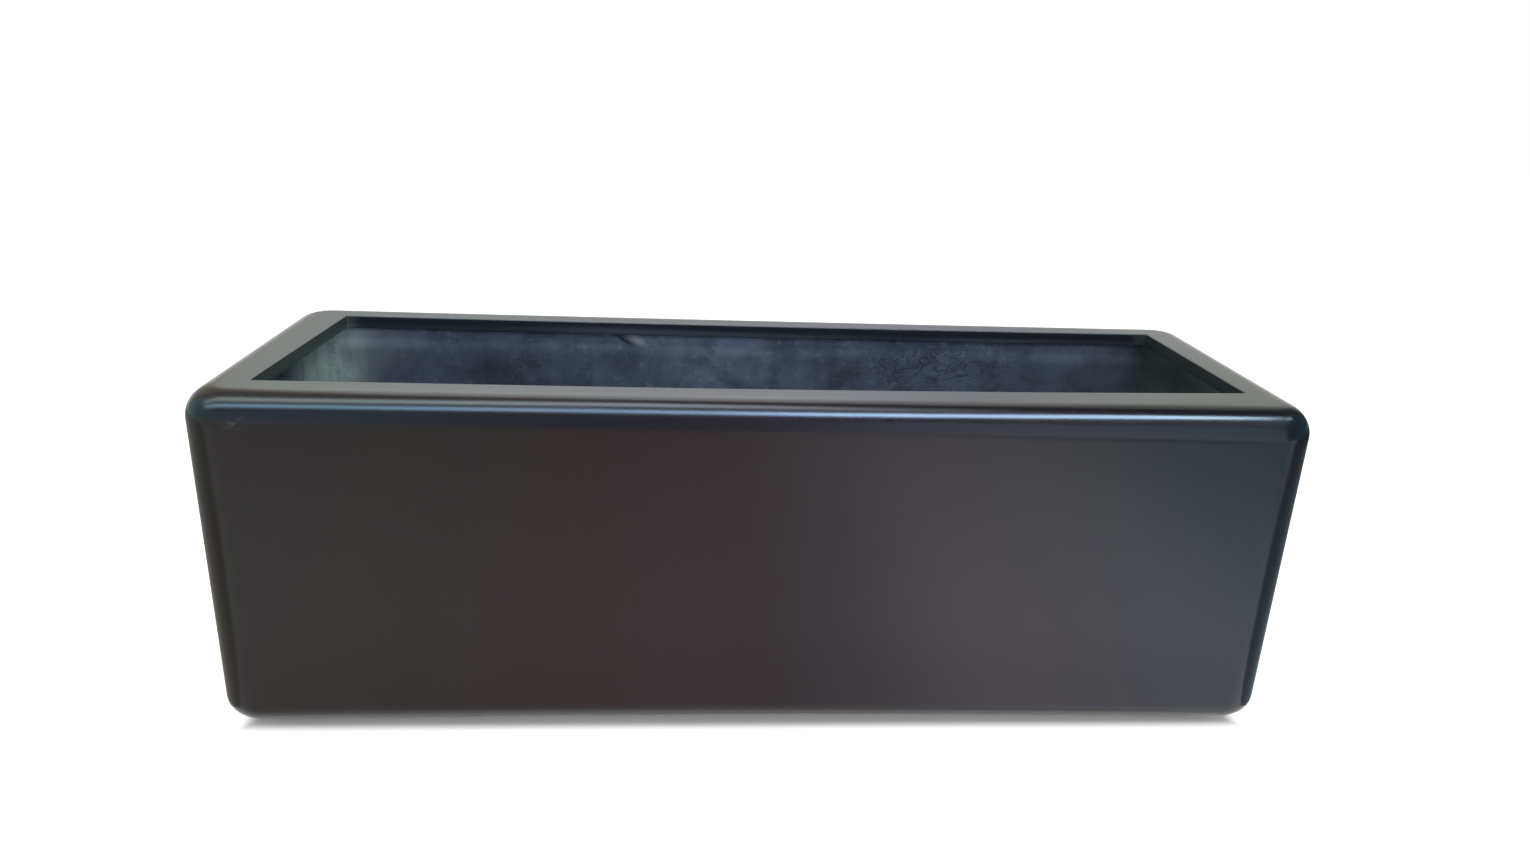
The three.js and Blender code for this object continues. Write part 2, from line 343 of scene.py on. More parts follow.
plywood = {
    "under": 14.3 * mm,
    "twoVeneers": 4.8 * mm,
    "tones": ((0.22, 0.12, 0.05), (0.44, 0.29, 0.14)),
    "endGrain": (0.16, 0.085, 0.035),
}


def makePlywood():
    # five veneers, with the grain along the batten and then across it
    p = plywood
    material, place = startMaterial("plywood")
    layer = mathNode("FRACT", mathNode("DIVIDE", split(place)[2] - p["under"], p["twoVeneers"]))
    cross = ramp(abs(layer - 0.5), 0.23, 0.27)
    lengthwise, crosswise = (noise(mapped(place, scale=s), 0.002, detail=5) for s in ((1, 14, 1), (14, 1, 1)))
    grain = lengthwise * cross + crosswise * (1 - cross)
    tone = mixColour(ramp(grain, 0.3, 0.7), *p["tones"])
    tone = mixColour(cross * 0.35, tone, p["endGrain"])
    return endMaterial(material, tone, ramp(grain, 0.3, 0.7, 0.72, 0.9), bump(grain, 0.0003, 0.6))


def makeMoulded(name, colour, cloudy, gritty, rough, grain, **inputs):
    # rubber or plastic: a fine skin with clouds and grit, each (size, detail, ramp, colour)
    material, place = startMaterial(name, **inputs)
    values = []
    tone = colour
    for size, detail, steps, shade in (cloudy, gritty):
        values.append(noise(place, size, detail))
        tone = mixColour(ramp(values[-1], *steps), tone, shade)
    return endMaterial(material, tone, ramp(values[0], 0.3, 0.7, *rough), bump(values[1], grain, 0.5))


def makeRubber(name, colour, bloom):
    cloudy = (0.008, 4, (0.35, 0.75, 0, 0.5), bloom)
    gritty = (0.0006, 3, (0.66, 0.8, 0, 0.35), (0.14, 0.13, 0.12))
    return makeMoulded(name, colour, cloudy, gritty, (0.62, 0.85), 0.00012, Specular_IOR_Level=0.35)


def makeBushPlastic():
    cloudy = (0.01, 3, (0.3, 0.7), (0.028, 0.029, 0.030))
    gritty = (0.0007, 2, (0.68, 0.8, 0, 0.3), (0.09, 0.09, 0.085))
    return makeMoulded("bushPlastic", (0.017, 0.018, 0.019), cloudy, gritty, (0.40, 0.52), 0.00008, IOR=1.53)


def makeZincSteel():
    # bright zinc, with the faint crystal patches of plating and a dull spot here and there
    material, place = startMaterial("zincSteel", Metallic=1.0)
    flakes = addNode("ShaderNodeTexVoronoi", {"Vector": place, "Scale": 700}, "Color")
    red, green, _ = split(flakes, "Color")
    dull = ramp(noise(place, 0.004, detail=4), 0.55, 0.72)
    tone = mixColour(red * 0.5, (0.40, 0.41, 0.42), (0.52, 0.53, 0.53))
    tone = mixColour(dull * 0.6, tone, (0.30, 0.29, 0.27))
    return endMaterial(material, tone, ramp(green, 0, 1, 0.26, 0.38) + dull * 0.2, bump(red, 0.00003, 0.4))


materials = {
    "satinPaint": makeSatinPaint(),
    "laminate": makeLaminate("laminate"),
    "strand": makeLaminate("strandLaminate", creased=False),
    "plywood": makePlywood(),
    "footRubber": makeRubber("footRubber", (0.011, 0.011, 0.011), (0.022, 0.022, 0.021)),
    "plugRubber": makeRubber("plugRubber", (0.026, 0.028, 0.030), (0.045, 0.046, 0.047)),
    "bushPlastic": makeBushPlastic(),
    "zincSteel": makeZincSteel(),
}
print("materials made:", len(materials))


# Geometry Nodes
def startTree(name, inputs):
    # beside these inputs, label: value, each tree takes a Geometry and a Finish
    tree = bpy.data.node_groups.new(name, "GeometryNodeTree")
    kinds = {label: "Int" if isinstance(value, int) else "Float" for label, value in inputs.items()}
    for label, kind in {"Geometry": "Geometry", **kinds, "Finish": "Material"}.items():
        socket = tree.interface.new_socket(label, in_out="INPUT", socket_type="NodeSocket" + kind)
        if label in inputs:
            socket.default_value = inputs[label]
    tree.interface.new_socket("Geometry", in_out="OUTPUT", socket_type="NodeSocketGeometry")
    useTree(tree)
    return tree, {socket.name: Value(socket) for socket in nodes.new("NodeGroupInput").outputs}


def geometry(kind, inputs=None, output=0, **settings):
    return addNode("GeometryNode" + kind, inputs, output, **settings)


def endTree(tree, given, result):
    whole = geometry("RealizeInstances", {"Geometry": result})
    dressed = geometry("SetMaterial", {"Geometry": whole, "Material": given["Finish"]})
    feed(nodes.new("NodeGroupOutput").inputs[0], dressed)
    return tree


def bakeModifiers(obj):
    bpy.context.view_layer.update()
    depsgraph = bpy.context.evaluated_depsgraph_get()
    mesh = bpy.data.meshes.new_from_object(obj.evaluated_get(depsgraph), depsgraph=depsgraph)
    obj.modifiers.clear()
    old, obj.data = obj.data, mesh
    bpy.data.meshes.remove(old)
    mesh.name = obj.name


def runTree(obj, tree, values, finish=None):
    modifier = obj.modifiers.new(tree.name, "NODES")
    modifier.node_group = tree
    values = {**values, "Finish": finish or obj.data.materials[0]}
    for item in tree.interface.items_tree:
        if item.in_out == "INPUT" and item.name in values:
            modifier[item.identifier] = values[item.name]
    bakeModifiers(obj)


def attributeValue(name):
    return geometry("InputNamedAttribute", {"Name": name}, data_type="FLOAT")


def vector(**parts):
    return addNode("ShaderNodeCombineXYZ", parts)


def centredNoise(place, size, seed, detail=2.0, warp=0.0, output="Fac"):
    # noise from about -0.5 to 0.5, and a vector where the output is "Color"
    inputs = {"W": seed, "Scale": mathNode("DIVIDE", 1.0, size), "Detail": detail, "Distortion": warp}
    value = addNode("ShaderNodeTexNoise", {"Vector": place, **inputs}, output, noise_dimensions="4D")
    return value - 0.5 if output == "Fac" else vectorNode("SUBTRACT", value, (0.5, 0.5, 0.5))


def randomValue(low, high, seed):
    node = addNode("FunctionNodeRandomValue", {"Seed": seed}, data_type="FLOAT").socket.node
    # the number sockets share the names of the vector sockets
    for socket in node.inputs:
        if socket.enabled and socket.name in ("Min", "Max"):
            socket.default_value = low if socket.name == "Min" else high
    return Value(next(socket for socket in node.outputs if socket.enabled))


def makeReliefTree():
    # the hand-laid surface: lumps, fine texture, creases and frayed edges
    tree, given = startTree("laminateRelief", {
        "Relief": 0.8 * mm,
        "Lump Size": 22 * mm,
        "Crease Depth": 0.6 * mm,
        "Fray": 0.0,
        "Seed": 1.0,
    })
    size, seed = given["Lump Size"], given["Seed"]
    place = geometry("InputPosition")
    broad = centredNoise(place, size * 2.2, seed)
    small = centredNoise(place, size * 0.5, seed, 3.0, 0.8)
    crease = ramp(abs(centredNoise(place, size, seed, 2.0, 1.0)), 0.05, 0.0)
    height = (broad + small * 0.8) * given["Relief"] - crease * given["Crease Depth"]
    shift = scaled(geometry("InputNormal"), height * attributeValue("relief"))
    fray = vectorNode("MULTIPLY", centredNoise(place, size * 0.35, seed, 3.0, output="Color"), (1, 1, 0))
    fray = scaled(fray, attributeValue("fray") * given["Fray"])
    offset = vectorNode("ADD", shift, fray)
    return endTree(tree, given, geometry("SetPosition", {"Geometry": given["Geometry"], "Offset": offset}))


def makeStrandTree():
    # loose glass strands that lie on a surface and follow it
    tree, given = startTree("looseStrands", {
        "Density": 1500.0,
        "Length": 26 * mm,
        "Width": 1.0 * mm,
        "Wander": 9 * mm,
        "Seed": 4,
    })
    surface = given["Geometry"]
    density = attributeValue("strands") * given["Density"]
    points = geometry("DistributePointsOnFaces", {"Mesh": surface, "Density": density, "Seed": given["Seed"]})
    half = given["Length"] * 0.5
    line = geometry("CurvePrimitiveLine", {"Start": vector(X=half * -1.0), "End": vector(X=half)})
    line = geometry("ResampleCurve", {"Curve": line, "Count": 9})
    laid = geometry("InstanceOnPoints", {
        "Points": points,
        "Instance": line,
        "Rotation": Value(points.socket.node.outputs["Rotation"]),
        "Scale": randomValue(0.35, 1.15, 7),
    })
    spin = vector(Z=randomValue(0, 2 * math.pi, 8))
    laid = geometry("RotateInstances", {"Instances": laid, "Rotation": spin})
    laid = geometry("RealizeInstances", {"Geometry": laid})
    bend = centredNoise(geometry("InputPosition"), 9 * mm, 2.0, output="Color")
    bent = geometry("SetPosition", {"Geometry": laid, "Offset": scaled(bend, given["Wander"])})
    nearest = geometry("Proximity", {"Geometry": surface}, "Position", target_element="FACES")
    snapped = geometry("SetPosition", {"Geometry": bent, "Position": nearest})
    section = geometry("CurvePrimitiveCircle", {"Resolution": 5, "Radius": given["Width"] * 0.5})
    tube = geometry("CurveToMesh", {"Curve": snapped, "Profile Curve": section, "Fill Caps": True})
    return endTree(tree, given, tube)


def makeRowsTree():
    # copies of one piece in rows and columns, each turned at random up to Turn
    tree, given = startTree("rowsOfPieces", {
        "Columns": 3,
        "Rows": 1,
        "Column Step": 0.34,
        "Row Step": 0.19,
        "Turn": 0.0,
        "Seed": 1,
    })
    lines = []
    for count, step, axis in (("Columns", "Column Step", "X"), ("Rows", "Row Step", "Y")):
        start = (given[count] - 1) * -0.5 * given[step]
        lines.append(geometry("MeshLine", {
            "Count": given[count],
            "Start Location": vector(**{axis: start}),
            "Offset": vector(**{axis: given[step]}),
        }, mode="OFFSET"))
    grid = geometry("InstanceOnPoints", {"Points": lines[0], "Instance": lines[1]})
    grid = geometry("RealizeInstances", {"Geometry": grid})
    spin = vector(Z=randomValue(0, 1, given["Seed"]) * given["Turn"])
    copies = {"Points": grid, "Instance": given["Geometry"], "Rotation": spin}
    return endTree(tree, given, geometry("InstanceOnPoints", copies))


reliefTree = makeReliefTree()
strandTree = makeStrandTree()
rowsTree = makeRowsTree()
print("node trees made")


# Closed meshes built from rings
def planRing(halfX, halfY, radius, counts):
    # a rounded rectangle, anticlockwise from the middle of the corner at -X -Y
    alongX, alongY, corner = counts
    corners = [(-1, -1, alongX), (1, -1, alongY), (1, 1, alongX), (-1, 1, alongY)]
    arcs = []
    for k, (sideX, sideY, _) in enumerate(corners):
        centre = np.array([sideX * (halfX - radius), sideY * (halfY - radius)])
        angles = np.radians(180 + 90 * (k + np.arange(corner + 1) / corner))
        arcs.append(centre + radius * np.stack([np.cos(angles), np.sin(angles)], 1))
    points = []
    for k, (_, _, straight) in enumerate(corners):
        start, end = arcs[k][-1], arcs[(k + 1) % 4][0]
        share = np.arange(1, straight)[:, None] / straight
        points += [arcs[k], start + (end - start) * share]
    return np.roll(np.concatenate(points), -(corner // 2), axis=0)


def coonsPatch(ring, counts):
    # fills a ring with a grid of its own points and new ones between them
    alongX, alongY, corner = counts
    a, b = alongX + corner, alongY + corner
    closed = np.concatenate([ring, ring[:1]])
    front, right = closed[:a + 1], closed[a:a + b + 1]
    back, left = closed[a + b:2 * a + b + 1][::-1], closed[2 * a + b:][::-1]
    u = (np.arange(a + 1) / a)[:, None, None]
    v = (np.arange(b + 1) / b)[None, :, None]
    sides = (1 - v) * front[:, None] + v * back[:, None] + (1 - u) * left[None] + u * right[None]
    inner = (1 - u) * (1 - v) * front[0] + u * (1 - v) * front[a] + (1 - u) * v * back[0] + u * v * back[a]
    return sides - inner


def loft(rings, counts, flatStart=False):
    # joins rings of points into one closed skin; the first cap faces down and the last one up
    size = len(rings[0])
    vertices = [np.asarray(r, float) for r in rings]
    here = np.arange(size)
    there = np.roll(here, -1)
    faces = []
    for k in range(len(rings) - 1):
        low, high = k * size, (k + 1) * size
        faces += np.stack([low + here, low + there, high + there, high + here], 1).tolist()
    total = size * len(rings)
    a, b = counts[0] + counts[2], counts[1] + counts[2]
    for first, ring, upwards in ((0, rings[0], False), (total - size, rings[-1], True)):
        if flatStart and not upwards:
            faces.append(here[::-1].tolist())
            continue
        patch = coonsPatch(ring, counts)
        index = np.zeros((a + 1, b + 1), int)
        closed = np.append(first + here, first)
        index[:, 0], index[a, :] = closed[:a + 1], closed[a:a + b + 1]
        index[:, b], index[0, :] = closed[a + b:2 * a + b + 1][::-1], closed[2 * a + b:][::-1]
        index[1:a, 1:b] = total + np.arange((a - 1) * (b - 1)).reshape(a - 1, b - 1)
        vertices.append(patch[1:a, 1:b].reshape(-1, 3))
        total += (a - 1) * (b - 1)
        quads = np.stack([index[:-1, :-1], index[1:, :-1], index[1:, 1:], index[:-1, 1:]], 2).reshape(-1, 4)
        faces += (quads if upwards else quads[:, ::-1]).tolist()
    return np.concatenate(vertices), faces


def meshObject(name, vertices, faces, material):
    mesh = bpy.data.meshes.new(name)
    mesh.from_pydata([tuple(v) for v in vertices], [], faces)
    mesh.shade_smooth()
    mesh.materials.append(material)
    return addObject(name, mesh)


def cutterObject(name, form):
    data = bpy.data.meshes.new(name)
    form.to_mesh(data)
    form.free()
    return addObject(name, data)


def cutAway(obj, cutter):
    modifier = obj.modifiers.new("cut", "BOOLEAN")
    modifier.operation = "DIFFERENCE"
    modifier.solver = "MANIFOLD"
    modifier.object = cutter
    bakeModifiers(obj)
    bpy.data.objects.remove(cutter)


def setWeights(obj, **weights):
    for name, values in weights.items():
        attribute = obj.data.attributes.new(name, "FLOAT", "POINT")
        attribute.data.foreach_set("value", np.asarray(values, np.float32))


def arcPoints(radius, height, bend, first, last, steps=6):
    # points of an arc about (radius, height), in degrees, where 0 points outwards and 90 up
    angles = [math.radians(first + (last - first) * i / steps) for i in range(steps + 1)]
    return [(radius + bend * math.cos(a), height + bend * math.sin(a)) for a in angles]


def turnedForm(profile, steps):
    # a closed profile of (radius, height) points, turned about Z; points on the axis become poles
    vertices, rows = [], []
    for radius, height in profile:
        if radius == 0:
            rows.append([len(vertices)] * steps)
            vertices.append((0, 0, height))
        else:
            rows.append(list(range(len(vertices), len(vertices) + steps)))
            angles = [2 * math.pi * k / steps for k in range(steps)]
            vertices += [(radius * math.cos(a), radius * math.sin(a), height) for a in angles]
    faces = []
    bands = list(zip(rows, rows[1:]))
    if profile[0][0] > 0:
        bands.append((rows[-1], rows[0]))
    for low, high in bands:
        for k in range(steps):
            n = (k + 1) % steps
            faces.append(list(dict.fromkeys([low[k], low[n], high[n], high[k]])))
    return vertices, faces


def turnedPiece(name, profile, steps, material):
    # the profile is in millimetres
    vertices, faces = turnedForm(profile, steps)
    return meshObject(name, np.array(vertices) * mm, faces, material)


def finishPiece(piece, body, nodes, sharpAngle=None):
    if sharpAngle:
        piece.data.set_sharp_from_angle(angle=math.radians(sharpAngle))
    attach(piece, body)
    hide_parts(*nodes)
    piece.data.calc_loop_triangles()
    print(piece.name, len(piece.data.loop_triangles), "triangles")


sides = ("left", "right")
columns = ("left", "middle", "right")


def footNodes(start):
    return [f"{start}_{row}_{column}" for row in ("front", "back") for column in columns]


def boxMiddle(node):
    low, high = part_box(node)
    return (low + high) / 2


# The trough: a painted skin and the laminate behind it
shellLow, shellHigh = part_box("planter_shell")
trough = {
    "halfLength": shellHigh.x,
    "halfWidth": shellHigh.y,
    "under": shellLow.z,
    "top": shellHigh.z,
    "wall": 4 * mm,
    "skin": 1 * mm,  # gelcoat and paint
    "bond": 0.05 * mm,  # between the skin and the laminate
    "corner": 36 * mm,  # upright edges
    "topEdge": 25 * mm,
    "bottomEdge": 20 * mm,
    "support": 1.5 * mm,  # of the flat faces, keeps their shading even
    "endRim": 49 * mm,
    "sideRim": 43 * mm,
    "mouthCorner": 2 * mm,
    "lipDepth": 12 * mm,
    "lipEdge": 1.1 * mm,
    "lipBottomEdge": 0.9 * mm,
    "underRimFillet": 3 * mm,
    "skinStep": 12 * mm,  # size of the skin's faces along the straight walls
    "laminateStep": 4 * mm,
    "drainHole": 21.5 * mm,
    "screwHole": 4.7 * mm,
}

# How far the hand-laid moulding is from true
unevenness = {
    "frontBow": 6 * mm,  # the front wall's foot draws in at the middle
    "backBow": 3 * mm,
    "wallStart": (80 * mm, 130 * mm),
    "rimStart": (25 * mm, 38 * mm),  # from the outside
    "rimDepth": (25 * mm, 13 * mm),
    "frontRimSkew": 16 * mm,  # the front rim widens to the right
    "frontRimStart": -170 * mm,  # where the widening starts
    "backRimBow": 3 * mm,
    "leftRim": (-3.4 * mm, 6 * mm),  # front and back
    "rightRim": (6 * mm, 1 * mm),
}


def ring(insetX, insetY, radius, height):
    return insetX, insetY, max(radius, 0.3 * mm), height


def evenRing(inset, height):
    return ring(inset, inset, trough["corner"] - inset, height)


def lipRing(behind, height):
    # behind is how far from the rim's inner edge, towards the outside
    return ring(trough["endRim"] - behind, trough["sideRim"] - behind, trough["mouthCorner"] + behind, height)


def lipArc(*arc):
    return [lipRing(*point) for point in arcPoints(*arc)]


def between(first, last, steps):
    # rings between two others, without them
    return [tuple(a + (b - a) * i / steps for a, b in zip(first, last)) for i in range(1, steps)]


def outerPath(depth, bottomSteps, wallSteps, topSteps):
    # up the outside, at a depth below the surface: bottom fillet, wall, top fillet
    t = trough
    lower, upper = t["bottomEdge"], t["topEdge"]
    foot, head = t["under"] + lower, t["top"] - upper
    low, high = evenRing(depth, foot + t["support"]), evenRing(depth, head - t["support"])
    return [
        *(evenRing(lower - x, z) for x, z in arcPoints(0, foot, lower - depth, -90, 0, bottomSteps)),
        low,
        *between(low, high, wallSteps),
        high,
        *(evenRing(upper - x, z) for x, z in arcPoints(0, head, upper - depth, 0, 90, topSteps)),
    ]


def skinRings():
    t = trough
    thick, top, edge, lower = t["skin"], t["top"], t["lipEdge"], t["lipBottomEdge"]
    lipUnder = top - t["lipDepth"]
    lipFoot = lipUnder + lower
    rings = [evenRing(t["bottomEdge"] + t["support"], t["under"]), *outerPath(0, 9, 22, 18)]
    rings += between(rings[-1], lipRing(edge, top), 8)
    rings += [lipRing(edge + 0.5 * mm, top), *lipArc(edge, top - edge, edge, 90, 180, 5)]
    rings += between(rings[-1], lipRing(0, lipFoot), 4)
    rings += lipArc(lower, lipFoot, lower, 180, 270, 4) + lipArc(t["wall"] - lower, lipFoot, lower, 270, 360, 4)
    rings += [lipRing(t["wall"], lipUnder + thick), lipRing(thick, lipUnder + thick), lipRing(thick, top - thick)]
    return rings + outerPath(thick, 4, 4, 5)[::-1]


def laminateRings():
    t = trough
    hidden = t["skin"] + t["bond"]
    top, wall, fillet = t["top"], t["wall"], t["underRimFillet"]
    lipUnder = top - t["lipDepth"]
    rings = outerPath(hidden, 4, 4, 5)
    rings += [lipRing(hidden, top - hidden), lipRing(hidden, lipUnder + hidden), lipRing(wall, lipUnder + hidden)]
    hiddenRings = len(rings)
    rings.append(lipRing(wall, (lipUnder + top - wall - fillet) / 2))
    rings += lipArc(wall + fillet, top - wall - fillet, -fillet, 0, -90, 3)
    inside = outerPath(wall, 7, 58, 8)[::-1]
    return rings + between(rings[-1], inside[0], 5) + inside, hiddenRings


def countsFor(step, corner):
    alongX, alongY = (round(2 * (trough[half] - trough["corner"]) / step) for half in ("halfLength", "halfWidth"))
    return alongX, alongY, corner


def placeRings(rings, counts):
    placed = []
    for insetX, insetY, radius, height in rings:
        plan = planRing(trough["halfLength"] - insetX, trough["halfWidth"] - insetY, radius, counts)
        placed.append(np.column_stack([plan, np.full(len(plan), height)]))
    return placed


def share(value):
    return np.clip(value, 0, 1)


def smoothStep(value, low, high):
    t = share((value - low) / (high - low))
    return t * t * (3 - 2 * t)


def fromOutside(x, y, atRim=True):
    # how deep inside the outline; at the rim the ends count less, as their rim is wider
    wider = trough["endRim"] - trough["sideRim"] if atRim else 0
    return np.minimum(trough["halfLength"] - np.abs(x) - wider, trough["halfWidth"] - np.abs(y))


def settleShape(points):
    # the small departures from true of a moulding laid by hand
    t, u = trough, unevenness
    x, y, z = points.T
    edgeX, edgeY = t["halfLength"] - t["endRim"], t["halfWidth"] - t["sideRim"]
    along = share(1 - (x / t["halfLength"]) ** 2)
    down = 1 - share((z - t["under"]) / (t["top"] - t["under"]))
    front, back = smoothStep(-y, *u["wallStart"]), smoothStep(y, *u["wallStart"])
    moveY = u["frontBow"] * along * down ** 1.3 * front - u["backBow"] * along * back
    rim = smoothStep(fromOutside(x, y), *u["rimStart"]) * smoothStep(z, *(t["top"] - d for d in u["rimDepth"]))
    toFront, toLeft = share((edgeY - y) / (2 * edgeY)), share((edgeX - x) / (2 * edgeX))
    widening = share((x - u["frontRimStart"]) / (edgeX - u["frontRimStart"])) ** 2
    moveY += rim * (toFront * u["frontRimSkew"] * widening - (1 - toFront) * u["backRimBow"] * along)
    left, right = (f * toFront + b * (1 - toFront) for f, b in (u["leftRim"], u["rightRim"]))
    moveX = rim * (left * toLeft + right * (1 - toLeft))
    return np.column_stack([x + moveX, y + moveY, z])


def makeHoles():
    # one cutter for the drain holes and the screw holes
    form = bmesh.new()
    holes = [(f"drain_bush_{side}", trough["drainHole"]) for side in sides]
    holes += [(node, trough["screwHole"]) for node in footNodes("foot_screw")]
    for node, width in holes:
        middle = boxMiddle(node)
        bmesh.ops.create_cone(
            form, cap_ends=True, segments=48, radius1=width / 2, radius2=width / 2, depth=30 * mm,
            matrix=Matrix.Translation((middle.x, middle.y, trough["under"])))
    return cutterObject("holes", form)


def makeSkin():
    t = trough
    counts = countsFor(t["skinStep"], 16)
    points, faces = loft(placeRings(skinRings(), counts), counts)
    skin = meshObject("troughSkin", settleShape(points), faces, materials["satinPaint"])
    x, y, z = points.T
    above, below = z - t["under"], t["top"] - z
    onLip = smoothStep(fromOutside(x, y), t["sideRim"] - 2.5 * mm, t["sideRim"] - 0.4 * mm)
    rimEdge = onLip * smoothStep(-below, -1.5 * mm, -0.3 * mm)
    foot = smoothStep(14 * mm - above, 0, 8 * mm) * smoothStep(above, 0.5 * mm, 4 * mm)
    setWeights(skin, lip=onLip * smoothStep(below, 0.2 * mm, 1.6 * mm), edge=np.maximum(rimEdge, 0.8 * foot))
    cutAway(skin, makeHoles())
    finishPiece(skin, "trough", ["planter_shell"])


handLaid = {
    "floorRelief": 0.3,
    "lining": {"Relief": 0.9 * mm, "Lump Size": 20 * mm, "Crease Depth": 0.5 * mm, "Seed": 2.0},
    "strands": {"Density": 1700.0, "Length": 24 * mm, "Width": 1.1 * mm, "Seed": 3},  # to the square metre
    "brims": {"Relief": 0.9 * mm, "Lump Size": 15 * mm, "Crease Depth": 0.3 * mm, "Fray": 3.5 * mm, "Seed": 9.0},
    "run": (1.6 * mm, 14 * mm, 5 * mm),  # the run of resin's height and reach
}


def makeLining():
    t, h = trough, handLaid
    counts = countsFor(t["laminateStep"], 14)
    rings, hiddenRings = laminateRings()
    points, faces = loft(placeRings(rings, counts), counts, flatStart=True)
    x, y, z = points.T
    above, below = z - t["under"], t["top"] - z
    seen = np.ones(len(points))
    seen[:hiddenRings * len(planRing(1, 1, 0.1, counts))] = 0
    floor = 1 - smoothStep(above, t["wall"] + 2 * mm, 18 * mm)
    relief = 1 - (1 - h["floorRelief"]) * floor
    for side in sides:
        middle = boxMiddle(f"drain_bush_{side}")
        away = np.hypot(x - middle.x, y - middle.y)
        relief = relief * (1 - floor * (1 - smoothStep(away, 18 * mm, 28 * mm)))
    underRim = smoothStep(-below, -12 * mm, -5 * mm)
    behindLip = smoothStep(fromOutside(x, y, atRim=False), t["sideRim"] - 12 * mm, t["sideRim"] - 6 * mm)
    clear = seen * (1 - behindLip * smoothStep(-below, -20 * mm, -12 * mm))
    tangle = clear * (1 - underRim) * (0.35 + 0.65 * smoothStep(above, 8 * mm, 25 * mm))
    # the run of resin, which the laminate's colours show too
    (runX, _, runZ), _, turn = roughLaminate["run"]
    height, reachU, reachV = h["run"]
    cos, sin = math.cos(math.radians(turn)), math.sin(math.radians(turn))
    u, v = ((x - runX) * cos - (z - runZ) * sin) / reachU, ((x - runX) * sin + (z - runZ) * cos) / reachV
    run = np.exp(-(u ** 2 + v ** 2) * 1.5) * (y > t["halfWidth"] - 8 * mm) * seen
    points = settleShape(points)
    points[:, 1] -= run * height
    lining = meshObject("troughLaminate", points, faces, materials["laminate"])
    setWeights(lining, relief=clear * relief * (1 - 0.7 * underRim), strands=tangle)
    runTree(lining, reliefTree, h["lining"])
    strands = addObject("laminateStrands", lining.data.copy())
    runTree(strands, strandTree, h["strands"], materials["strand"])
    cutAway(lining, makeHoles())
    finishPiece(lining, "trough", ["planter_shell"])
    finishPiece(strands, "trough", ["planter_shell"])


makeSkin()
makeLining()


# The battens' skins of laminate: a hat with a feathered, frayed brim, in millimetres
glassing = {
    "batten": (25, 115),  # half its width and length
    "gap": 0.3,
    "thickness": 2.5,
    "brim": (30, 8),  # how far it laps onto the floor
    "battenUnder": 14.3,
    "battenTop": 26.3,
    "battenBevel": 4,
    "topRound": 6,
    "hollowRound": 5,  # where the hat meets the brim
    "edge": 0.7,  # thickness of the feathered edge
    "step": 4,
    "spacing": 340,
}


def makeGlassings():
    g = glassing
    halfX, halfY = g["batten"]
    bevel, gap, edge, thick = g["battenBevel"], g["gap"], g["edge"], g["thickness"]
    outer = gap + thick
    low, top = g["battenUnder"] - 0.05, g["battenTop"] + outer
    counts = (round(2 * halfX / g["step"]) + 4, round(2 * halfY / g["step"]), 6)
    rings, weights = [], []

    def add(x, y, radius, height, relief=0.0, fray=0.0):
        plan = planRing(x, y, radius, counts)
        rings.append(np.column_stack([plan, np.full(len(plan), height)]))
        weights.append(np.tile([relief, fray], (len(plan), 1)))

    add(halfX + gap - bevel, halfY + gap - bevel, 0.5, g["battenTop"] + gap)
    for height in (g["battenTop"] + gap - bevel, low):
        add(halfX + gap, halfY + gap, 4.5, height)
    brimX, brimY = halfX + g["brim"][0], halfY + outer + g["brim"][1]
    for inset, height, relief in ((1, low, 0), (0, low + edge / 2, 0), (0.5, low + edge, 0.1)):
        add(brimX - inset, brimY - inset, 8, height, relief, 1)
    hatX, hatY = halfX + outer, halfY + outer
    hollow = g["hollowRound"]
    for share in (0.12, 0.28, 0.5, 0.75, 1.0):
        x = brimX + (hatX + hollow - brimX) * share
        y = brimY + (hatY + hollow - brimY) * share
        height = low + edge + (thick - edge) * min(1, share * 2)
        add(x, y, 8, height, 0.7, 1 - min(1, share * 4))
    for reach, height in arcPoints(hollow, low + thick + hollow, hollow, -90, -180, 5)[1:]:
        add(hatX + reach, hatY + reach, 5 + reach, height, 0.8)
    turnTop = g["topRound"]
    for reach, height in arcPoints(0, top - turnTop, turnTop, 0, 90, 6):
        inset = turnTop - reach
        add(hatX - inset, hatY - inset, max(6 - inset, 0.5), height, 1.0)
    for inset in (4, 8, 12):
        add(hatX - turnTop - inset, hatY - turnTop - inset, 0.5, top, 1.0)
    points, faces = loft(rings, counts)
    weights = np.concatenate(weights)
    weights = np.concatenate([weights, np.zeros((len(points) - len(weights), 2))])
    # the last cap is the hat's flat top
    capStart = len(points) - (counts[0] + counts[2] - 1) * (counts[1] + counts[2] - 1)
    weights[capStart:, 0] = 1.0
    piece = meshObject("battenGlassings", points * mm, faces, materials["laminate"])
    setWeights(piece, relief=weights[:, 0], fray=weights[:, 1])
    runTree(piece, rowsTree, {"Columns": 3, "Column Step": g["spacing"] * mm})
    runTree(piece, reliefTree, handLaid["brims"])
    finishPiece(piece, "trough", [f"batten_glassing_{c}" for c in columns])


makeGlassings()


